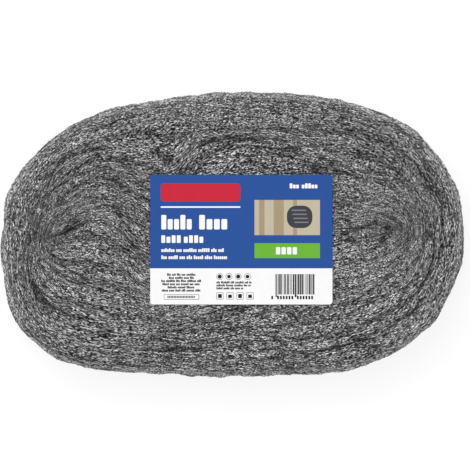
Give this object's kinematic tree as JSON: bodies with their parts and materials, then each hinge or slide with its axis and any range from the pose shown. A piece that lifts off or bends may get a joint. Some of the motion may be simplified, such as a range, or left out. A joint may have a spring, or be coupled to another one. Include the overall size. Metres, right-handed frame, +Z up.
{
  "type": "steel wool bundle",
  "caption": "Flat oval roll of fine grey steel wool for rubbing down wood and metal, lying on its end with a printed card label on top.",
  "frame": {"origin": "middle of the base, on the surface that the roll lies on", "axes": "+X along the long axis of the oval, +Y across it, +Z up along the width of the ribbon"},
  "size_m": [0.3002, 0.1857, 0.0856],
  "materials": {
    "wool": "matt mass of fine drawn steel fibres, streaked along the turns",
    "label": "smooth coated card, printed in blue, green and white"
  },
  "bodies": {
    "root": {"wool_roll": "wool", "card_label": "label"}
  },
  "joints": []
}
